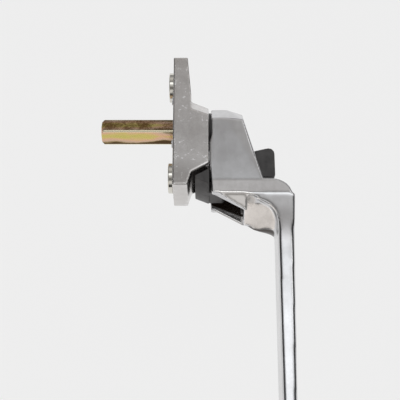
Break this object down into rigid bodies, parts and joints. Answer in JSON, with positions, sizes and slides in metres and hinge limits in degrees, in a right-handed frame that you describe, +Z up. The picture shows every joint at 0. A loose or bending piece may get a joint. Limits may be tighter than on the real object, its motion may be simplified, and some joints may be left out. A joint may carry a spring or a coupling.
{
  "type": "window handle",
  "caption": "Lever window handle with a thumb latch, on a cast base plate with rear fixing lugs and a square drive spindle.",
  "frame": {"origin": "on the spindle axis at the back face of the base plate, midway between the two fixing lugs", "axes": "+X out of the window into the room along the spindle axis, +Z up, with the grip hanging down at rest"},
  "size_m": [0.0808, 0.026, 0.1614],
  "materials": {
    "cast_base": "satin chrome-plated casting",
    "cast_lever": "satin chrome-plated casting",
    "lug_steel": "bright turned steel",
    "bright_steel": "bright",
    "plated_steel": "zinc plated",
    "dark_steel": "phosphated",
    "yellow_zinc": "yellow-passivated zinc",
    "black_plastic": "fine moulded texture"
  },
  "bodies": {
    "base": {"base_plate": "cast_base", "fixing_lugs": "lug_steel", "bearing_bush": "black_plastic", "detent_balls": "bright_steel", "detent_springs": "bright_steel", "rear_cover": "plated_steel", "cover_screws": "plated_steel"},
    "lever": {"lever": "cast_lever", "drive_sleeve": "bright_steel", "spindle": "yellow_zinc", "spindle_pin": "bright_steel", "index_disc": "plated_steel", "wave_washer": "bright_steel", "retaining_ring": "dark_steel", "latch_pin": "bright_steel", "latch_spring": "bright_steel"},
    "latch": {"thumb_latch": "black_plastic"}
  },
  "joints": [
    {"name": "lever_turn", "type": "hinge", "parent": "base", "child": "lever", "pos_m": [0, 0, 0], "axis": [1, 0, 0], "range_deg": [-90, 90]},
    {"name": "latch_press", "type": "hinge", "parent": "lever", "child": "latch", "pos_m": [0.0265, 0, -0.024], "axis": [0, 1, 0], "range_deg": [-5, 4], "stiffness_Nm_per_rad": 0.05, "deforming": ["latch_spring"]}
  ]
}
